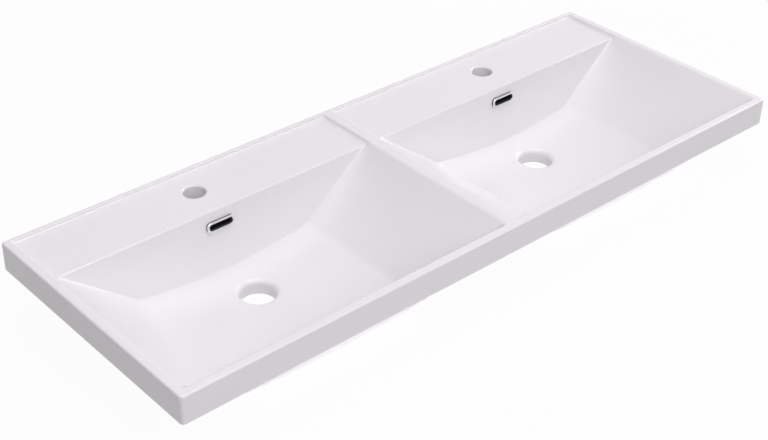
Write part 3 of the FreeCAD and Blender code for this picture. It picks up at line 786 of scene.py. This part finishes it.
# %% The ceramic material
GLAZE_WHITE = (0.862, 0.856, 0.862, 1)
GLAZE_DRIFT = (0.844, 0.838, 0.844, 1)
THIN_GLAZE = (0.835, 0.825, 0.830, 1)
DRIFT_SCALE = 6
WAVE_SCALE = 260
WAVE_STRENGTH = 0.02
WAVE_HEIGHT = 0.0004
GLAZE_ROUGHNESS = 0.16
THIN_ROUGHNESS = 0.6
GLAZE_IOR = 1.5

ceramic, tree, shader, coordinates = new_material("glazed_ceramic")
glaze = tree.nodes.new("ShaderNodeAttribute")
glaze.attribute_name = "glaze"
drift = noise(tree, coordinates, DRIFT_SCALE, 2)
white = mixed(tree, drift, GLAZE_WHITE, GLAZE_DRIFT)
tree.links.new(mixed(tree, glaze.outputs["Fac"], THIN_GLAZE, white), shader.inputs["Base Color"])
gloss = ramp(tree, glaze.outputs["Fac"], THIN_ROUGHNESS, GLAZE_ROUGHNESS)
tree.links.new(gloss, shader.inputs["Roughness"])
bumped(tree, shader, noise(tree, coordinates, WAVE_SCALE, 2), WAVE_STRENGTH, WAVE_HEIGHT)
shader.inputs["IOR"].default_value = GLAZE_IOR
print("made", ceramic.name)

# %% [markdown]
# ## The casting
# The glaze covers the top, the bowls, the throats and the outside of the apron. It fades out at
# the apron's foot and on the face that stands against the wall. The finished mesh stands for the
# basin's CAD solid and is fixed to the basin's body.

# %% The casting as a piece
off_wall = np.clip((HALF_DEPTH - casting_points[:, 1]) / TOP_EDGE, 0, 1)
glazed = np.concatenate(glaze_shares)[used] * off_wall
casting = make_piece("basin_casting", casting_points, faces, ceramic, casting_normals)
casting.data.attributes.new("glaze", "FLOAT", "POINT").data.foreach_set("value", glazed.astype(np.float32))
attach(casting, "basin")
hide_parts("basin")

# %% [markdown]
# ## Loops for the small parts
# The overflow's bezel and sleeve, and the ribs on the back that hold its duct, are all profiles
# carried round a rounded rectangle. Stretching a finished ring would squash its corners. So the
# loop keeps two things for each point: which corner of the core it belongs to, and the direction
# in which the corner's radius is added.


# %% A loop with true corners
def rounded_loop(corner_steps, side_steps):
    """Core places and directions round a rounded rectangle, anticlockwise, for a core of 1 by 1.

    At a corner the direction turns a quarter and the core point stays. Along a side the core
    point moves to the next corner and the direction stays.
    """
    turn = np.linspace(0, np.pi / 2, corner_steps + 1)
    move = np.linspace(0, 1, side_steps + 1)[1:-1]
    corners = np.array([[1, 1], [-1, 1], [-1, -1], [1, -1]])
    places, angles = [], []
    for number, corner in enumerate(corners):
        following = corners[(number + 1) % len(corners)]
        places += [np.repeat(corner[None], len(turn), axis=0), corner + np.outer(move, following - corner)]
        angles += [turn + number * np.pi / 2, np.full(len(move), (number + 1) * np.pi / 2)]
    angle = np.concatenate(angles)
    return np.concatenate(places), np.stack([np.cos(angle), np.sin(angle)], axis=-1)


def loop_rows(loop, halves, corners):
    """Rows of rounded rectangles: a half size and a corner radius for each row."""
    places, directions = loop
    halves, corners = np.asarray(halves, float), np.asarray(corners, float)
    cores = (halves - corners[:, None])[:, None, :] * places
    return cores + corners[:, None, None] * directions


def numbered(rows):
    """Numbers of the points in a stack of rows."""
    return np.arange(rows.shape[0] * rows.shape[1]).reshape(rows.shape[:2])


# %% [markdown]
# ## Chrome and black plastic
# The bezel is plated, so it shows little of its own but mirrors the white bowl and the dark
# slot. A faint haze in its roughness keeps it from looking like a perfect mirror. The sleeve is
# moulded plastic with a fine spark-eroded grain.

# %% Materials of the overflow trim
CHROME = (0.80, 0.80, 0.82, 1)
HAZE_SCALE = 180
CLEAR_ROUGHNESS, HAZY_ROUGHNESS = 0.03, 0.13
chrome, tree, shader, coordinates = new_material("bright_chrome")
shader.inputs["Base Color"].default_value = CHROME
shader.inputs["Metallic"].default_value = 1
haze = noise(tree, coordinates, HAZE_SCALE, 3)
tree.links.new(ramp(tree, haze, CLEAR_ROUGHNESS, HAZY_ROUGHNESS), shader.inputs["Roughness"])

DEEP_BLACK = (0.006, 0.006, 0.007, 1)
SOFT_BLACK = (0.014, 0.014, 0.015, 1)
GRAIN_SCALE = 1500
SMOOTH_GRAIN, ROUGH_GRAIN = 0.4, 0.6
GRAIN_STRENGTH = 0.15
GRAIN_HEIGHT = 0.0002
plastic, tree, shader, coordinates = new_material("black_plastic")
grain = noise(tree, coordinates, GRAIN_SCALE, 2)
tree.links.new(mixed(tree, grain, DEEP_BLACK, SOFT_BLACK), shader.inputs["Base Color"])
tree.links.new(ramp(tree, grain, SMOOTH_GRAIN, ROUGH_GRAIN), shader.inputs["Roughness"])
bumped(tree, shader, grain, GRAIN_STRENGTH, GRAIN_HEIGHT)
print("made", chrome.name, "and", plastic.name)

# %% [markdown]
# ## The chrome bezels
# A bezel is a ring round the slot that lies on the sleeve's flange. Its profile goes up the
# outside, over a soft shoulder, across a flat front and down a tight round into the mouth.
# Carrying that closed profile round the loop makes a ring without a seam.

# %% The bezels
HALF_BEZEL = np.array([25.0, 8.5])
BEZEL_CORNER = 6.5
BEZEL_FRONT = 4.4
FLANGE_FRONT = 2.7
SHOULDER = 0.9
MOUTH_ROUND = 0.4
BACK_EDGE = 0.15
trim_loop = rounded_loop(12, 8)
print("trim loop of", len(trim_loop[0]), "points")


def bezel_rows(side):
    """The bezel's closed profile as rows: up the outside, the shoulder, the front and the mouth."""
    rise, level = quarter(10)
    mouth_rise, mouth_level = quarter(6)
    insets = np.concatenate([[BACK_EDGE, 0], SHOULDER - SHOULDER * level])
    outer_out = BEZEL_FRONT - SHOULDER + SHOULDER * rise
    outer_out = np.concatenate([FLANGE_FRONT + np.array([0, BACK_EDGE]), outer_out])
    margins = np.concatenate([MOUTH_ROUND - MOUTH_ROUND * mouth_rise, [0, BACK_EDGE]])
    mouth_out = BEZEL_FRONT - MOUTH_ROUND + MOUTH_ROUND * mouth_level
    mouth_out = np.concatenate([mouth_out, FLANGE_FRONT + np.array([BACK_EDGE, 0])])
    halves = [HALF_BEZEL - insets[:, None], HALF_SLOT + margins[:, None]]
    corners = np.concatenate([BEZEL_CORNER - insets, SLOT_CORNER + margins])
    out = np.concatenate([outer_out, mouth_out])
    flat = loop_rows(trim_loop, np.concatenate(halves), corners)
    return on_wall(side, flat[..., 0], flat[..., 1], np.repeat(out[:, None], flat.shape[1], axis=1))


SIDES = {"left": -1, "right": 1}
for name, side in SIDES.items():
    rows = bezel_rows(side)
    ring = numbered(rows)
    closed = np.concatenate([ring, ring[:1]])
    bezel = make_piece(f"chrome_bezel_{name}", rows.reshape(-1, 3), joined(closed, 1), chrome)
    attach(bezel, f"overflow_cover_{name}")
    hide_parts(f"overflow_bezel_{name}")

# %% [markdown]
# ## The black sleeves
# The sleeve is the dark inside of the slot. It is a thin tube pushed through the wall, with a
# flange under the bezel that shows as a thin dark line on its top and its left. The flange is part
# of the sleeve, and that black line is painted shade: it stands in for the dark reflection on the
# bezel's outer side and the shade where the bezel meets the wall. It is made in the same way as
# the bezel: a closed profile of a tube with a flange, carried round the loop.

# %% The sleeves
TUBE_MARGIN = 0.3
TUBE_WALL = 1.5
TUBE_FRONT = BEZEL_FRONT - 1.2
TUBE_BACK = -15.0
FLANGE_INSET = 0.4
FLANGE_BACK = 0.3
TUBE_EDGE = 0.3
SHARP_ANGLE = np.radians(40)


def sleeve_rows(side):
    """The sleeve's closed profile: along the bore, over the front edge, round the flange and back."""
    bore = TUBE_MARGIN + TUBE_WALL
    insets = np.array([bore, bore, bore, bore - TUBE_EDGE, TUBE_MARGIN + TUBE_EDGE, TUBE_MARGIN, TUBE_MARGIN])
    out = [TUBE_BACK, 0, TUBE_FRONT - TUBE_EDGE, TUBE_FRONT, TUBE_FRONT, TUBE_FRONT - TUBE_EDGE, FLANGE_FRONT]
    # The flange sits just inside the bezel's outline, so its black edge shows below the bezel on top and on
    # the left as a painted shade line
    flange = np.array([FLANGE_INSET, FLANGE_INSET])
    tail = np.array([TUBE_MARGIN, TUBE_MARGIN])
    halves = [HALF_SLOT - insets[:, None], HALF_BEZEL - flange[:, None], HALF_SLOT - tail[:, None]]
    corners = [SLOT_CORNER - insets, BEZEL_CORNER - flange, SLOT_CORNER - tail]
    out = np.concatenate([out, [FLANGE_FRONT, FLANGE_BACK], [FLANGE_BACK, TUBE_BACK]])
    flat = loop_rows(trim_loop, np.concatenate(halves), np.concatenate(corners))
    return on_wall(side, flat[..., 0], flat[..., 1], np.repeat(out[:, None], flat.shape[1], axis=1))


for name, side in SIDES.items():
    rows = sleeve_rows(side)
    ring = numbered(rows)
    closed = np.concatenate([ring, ring[:1]])
    sleeve = make_piece(f"black_sleeve_{name}", rows.reshape(-1, 3), joined(closed, -1), plastic)
    sleeve.data.set_sharp_from_angle(angle=SHARP_ANGLE)
    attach(sleeve, f"overflow_cover_{name}")
    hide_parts(f"overflow_sleeve_{name}")

# %% [markdown]
# ## The overflow ducts on the back
# Water that enters a slot falls down a duct behind the rear wall and runs in a flat channel
# under the floor to the drain. From outside one sees their ribs: a three-sided wall behind the
# bowl, a foot under it and a low bar to the drain's boss. They belong to the same casting. As
# upright ribs they would need very many lines in the net, so each is a stack of rounded loops.


# %% Stacks of loops, closed at both ends
def stacked(pieces):
    """Points, faces and end caps of several stacks, each of which goes up row by row."""
    points, quads, caps, first = [], [], [], 0
    for rows in pieces:
        numbers = numbered(rows) + first
        points.append(rows.reshape(-1, 3))
        quads.append(joined(numbers, 1))
        caps += [numbers[0, ::-1], numbers[-1]]
        first += numbers.size
    return np.concatenate(points), np.concatenate(quads), caps


def rib_rows(middle, half, corner, edge, low, high):
    """An upright block on a rounded rectangle, with its lower edge rounded."""
    rise, level = quarter(5)
    insets = np.append(edge - edge * rise, 0)
    levels = np.append(low + edge - edge * level, high)
    flat = loop_rows(rounded_loop(6, 2), half - insets[:, None], corner - insets)
    return with_levels(flat + middle, levels)


# %% The three-sided duct wall
DUCT_HALF = 28
DUCT_WALL = 7
DUCT_BACK = LEDGE_FRONT + BOWL_WALL + 12
RIB_CORNER = 6
RIB_EDGE = 2.5
DUCT_INNER_CORNER = 1
RIB_FOOT = FLOOR_MIDDLE - 18.5
FOOT_TOP = FLOOR_MIDDLE + 11
TOUCH = 0.02


def duct_rows(side):
    """A wall on three sides of the duct. Its two front ends lie inside the leaning rear wall."""
    levels = np.linspace(FOOT_TOP, PLATE_UNDERSIDE - TOUCH, 4)
    turn = np.linspace(0, np.pi / 2, 7)
    bend = np.stack([np.cos(turn), np.sin(turn)], axis=-1)
    half_out, back_out = DUCT_HALF + DUCT_WALL, DUCT_BACK + DUCT_WALL
    corner_out = np.array([half_out, back_out]) - RIB_CORNER + RIB_CORNER * bend
    corner_in = np.array([DUCT_HALF, DUCT_BACK]) - DUCT_INNER_CORNER + DUCT_INNER_CORNER * bend
    left_out = corner_out[::-1] * [-1, 1]
    right_in = corner_in[::-1]
    left_in = corner_in * [-1, 1]
    tips = np.array([[half_out, 0], [-half_out, 0], [-DUCT_HALF, 0], [DUCT_HALF, 0]], float)
    plan = np.concatenate([tips[:1], corner_out, left_out, tips[1:3], left_in, right_in, tips[3:]])
    rows = np.repeat(plan[None], len(levels), axis=0)
    at_tip = plan[:, 1] == 0
    rows[:, at_tip, 1] = (wall_y(levels) + BOWL_WALL / 2)[:, None]
    rows[..., 0] += side * BOWL_X + SLOT_OFFSET
    return with_levels(rows, levels)


# %% The ribs as pieces
CHANNEL_OFFSET = -21
CHANNEL_HALF = 17
CHANNEL_TOP = FLOOR_MIDDLE - 5
FOOT_FRONT = 97

for name, side in SIDES.items():
    foot_back = DUCT_BACK + DUCT_WALL
    foot_middle = np.array([side * BOWL_X + SLOT_OFFSET, (FOOT_FRONT + foot_back) / 2])
    foot_half = np.array([DUCT_HALF + DUCT_WALL, (foot_back - FOOT_FRONT) / 2])
    foot_rows = rib_rows(foot_middle, foot_half, RIB_CORNER, RIB_EDGE, RIB_FOOT, FOOT_TOP)
    bar_front, bar_back = DRAIN_Y + DRAIN_RADIUS + 1, FOOT_FRONT + RIB_CORNER
    bar_middle = np.array([side * BOWL_X + CHANNEL_OFFSET, (bar_front + bar_back) / 2])
    bar_half = np.array([CHANNEL_HALF, (bar_back - bar_front) / 2])
    bar_rows = rib_rows(bar_middle, bar_half, RIB_CORNER, RIB_EDGE, RIB_FOOT, CHANNEL_TOP)
    points, quads, caps = stacked([duct_rows(side), foot_rows, bar_rows])
    duct = make_piece(f"overflow_duct_{name}", points, quads, ceramic, caps=caps)
    duct.data.set_sharp_from_angle(angle=SHARP_ANGLE)
    duct.data.attributes.new("glaze", "FLOAT", "POINT")
    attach(duct, "basin")
    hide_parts("basin")

# %% [markdown]
# ## Floor and light
# The picture is a plain studio shot on white. Large soft lamps stand above, on the right, in
# front and on the left, so every face has its own grey: the left end is the darkest, then the
# front, then the rear walls. The floor is white to the camera and in reflections, but it still
# takes a faint shadow. A narrow lamp under the front stands for the light that a white table
# throws back onto the bowls' undersides.

# %% Floor
FLOOR_SPAN = 12.0
FLOOR_STEPS = 2
SHADOW_SHARE = 0.05
PAPER_GREY = (0.6, 0.6, 0.6, 1)
PAPER_ROUGHNESS = 0.9
GLOW_TINT = (1, 0.992, 1, 1)
GLOW_STRENGTH = 1.015


def seen_or_mirrored(tree):
    """1 for camera, mirror and clear rays, and 0 for rays that carry light onto the object."""
    path = tree.nodes.new("ShaderNodeLightPath")
    total = path.outputs["Is Camera Ray"]
    for name in ("Is Glossy Ray", "Is Transmission Ray"):
        node = tree.nodes.new("ShaderNodeMath")
        node.operation = "MAXIMUM"
        tree.links.new(total, node.inputs[0])
        tree.links.new(path.outputs[name], node.inputs[1])
        total = node.outputs[0]
    return total


ticks = np.linspace(-FLOOR_SPAN / 2, FLOOR_SPAN / 2, FLOOR_STEPS + 1) / MM
floor_x, floor_y = np.meshgrid(ticks, ticks)
floor_points = np.stack([floor_x, floor_y, 0 * floor_x], axis=-1)
floor_numbers = np.arange((FLOOR_STEPS + 1) ** 2).reshape(FLOOR_STEPS + 1, -1)
floor_faces = grid_faces(floor_numbers, np.ones((FLOOR_STEPS, FLOOR_STEPS), bool))

paper, tree, shader, _ = new_material("studio_paper")
shader.inputs["Base Color"].default_value = PAPER_GREY
shader.inputs["Roughness"].default_value = PAPER_ROUGHNESS
glow = tree.nodes.new("ShaderNodeEmission")
glow.inputs["Color"].default_value = GLOW_TINT
glow.inputs["Strength"].default_value = GLOW_STRENGTH
blend = tree.nodes.new("ShaderNodeMixShader")
tree.links.new(ramp(tree, seen_or_mirrored(tree), 0, 1 - SHADOW_SHARE), blend.inputs[0])
tree.links.new(shader.outputs[0], blend.inputs[1])
tree.links.new(glow.outputs[0], blend.inputs[2])
tree.links.new(blend.outputs[0], tree.nodes["Material Output"].inputs["Surface"])
floor = make_piece("studio_floor", floor_points.reshape(-1, 3), floor_faces, paper)

# %% World
SKY_TINT = (1, 0.98, 1, 1)
SKY_STRENGTH = 0.05
world = bpy.data.worlds.new("studio_sky")
bpy.context.scene.world = world
world.use_nodes = True
sky = world.node_tree.nodes["Background"]
sky.inputs["Color"].default_value = SKY_TINT
sky_light = ramp(world.node_tree, seen_or_mirrored(world.node_tree), SKY_STRENGTH, 1)
world.node_tree.links.new(sky_light, sky.inputs["Strength"])
print("made", floor.name, "and", world.name)


# %% Lamps
LAMP_TINT = (1, 0.971, 1)


def add_lamp(name, place, aim, size, power):
    """An area lamp, its width and height in metres, that looks from its place at its aim."""
    data = bpy.data.lights.new(name, "AREA")
    data.shape = "RECTANGLE"
    data.size, data.size_y = size
    data.energy = power
    data.color = LAMP_TINT
    lamp = bpy.data.objects.new(name, data)
    back = np.array(place, float) - np.array(aim, float)
    back = back / np.linalg.norm(back)
    side = np.cross([0, 1, 0] if abs(back[2]) > 0.9 else [0, 0, 1], back)
    side = side / np.linalg.norm(side)
    turn = Matrix(np.stack([side, np.cross(back, side), back], axis=1).tolist())
    lamp.matrix_world = Matrix.Translation(place) @ turn.to_4x4()
    bpy.context.scene.collection.objects.link(lamp)
    return lamp


BASIN = (0, 0, 0.1)
SOFT_BOX = (2.0, 2.0)
lamps = {
    "above": ((0, 0, 3.0), 35.0),
    "right": ((3.0, 0, 1.4), 45.5),
    "front_low": ((-0.2, -3.0, 1.6), 14.0),
    "front_high": ((0, -2.0, 2.8), 28.0),
    "left_front": ((-2.2, -2.0, 2.0), 22.0),
    "left_back": ((-2.6, 0.4, 2.0), 5.0),
    "back": ((0.4, 2.6, 2.2), 4.5),
}
for name, (place, power) in lamps.items():
    add_lamp(name, place, BASIN, SOFT_BOX, power)

UNDER_FRONT = (0, -0.16, 0.006)
ABOVE_FRONT = (0, -0.16, 1)
TABLE_STRIP = (1.15, 0.14)
TABLE_POWER = 0.5
table_light = add_lamp("table_light", UNDER_FRONT, ABOVE_FRONT, TABLE_STRIP, TABLE_POWER)
table_light.visible_camera = False
print("lamps:", len(lamps) + 1)

# %% [markdown]
# ## The camera
# The camera was solved from the basin's straight edges in the photograph. It stands in front on
# the left, looks down by a good third of a right angle, and has a short telephoto lens. A slight
# roll tips the picture as it is tipped in the photograph.

# %% Camera
SENSOR_WIDTH = 36
LENS = 68.37
TURN = -42.15
LOOK_DOWN = 33.54
ROLL = 1.195
EYE_ABOVE_RIM = 1.1951

camera_data = bpy.data.cameras.new("photo_camera")
camera_data.sensor_fit = "HORIZONTAL"
camera_data.sensor_width = SENSOR_WIDTH
camera_data.lens = LENS
camera = bpy.data.objects.new("photo_camera", camera_data)
turn = Matrix.Rotation(np.radians(TURN), 4, "Z")
tilt = Matrix.Rotation(np.radians(90 - LOOK_DOWN), 4, "X")
roll = Matrix.Rotation(np.radians(ROLL), 4, "Z")
eye = (-1.3531, -1.4232, RIM * MM + EYE_ABOVE_RIM)
camera.matrix_world = Matrix.Translation(eye) @ turn @ tilt @ roll
bpy.context.scene.collection.objects.link(camera)
bpy.context.scene.camera = camera
bpy.context.scene.view_settings.view_transform = "Standard"
print("camera at", [round(v, 3) for v in eye])
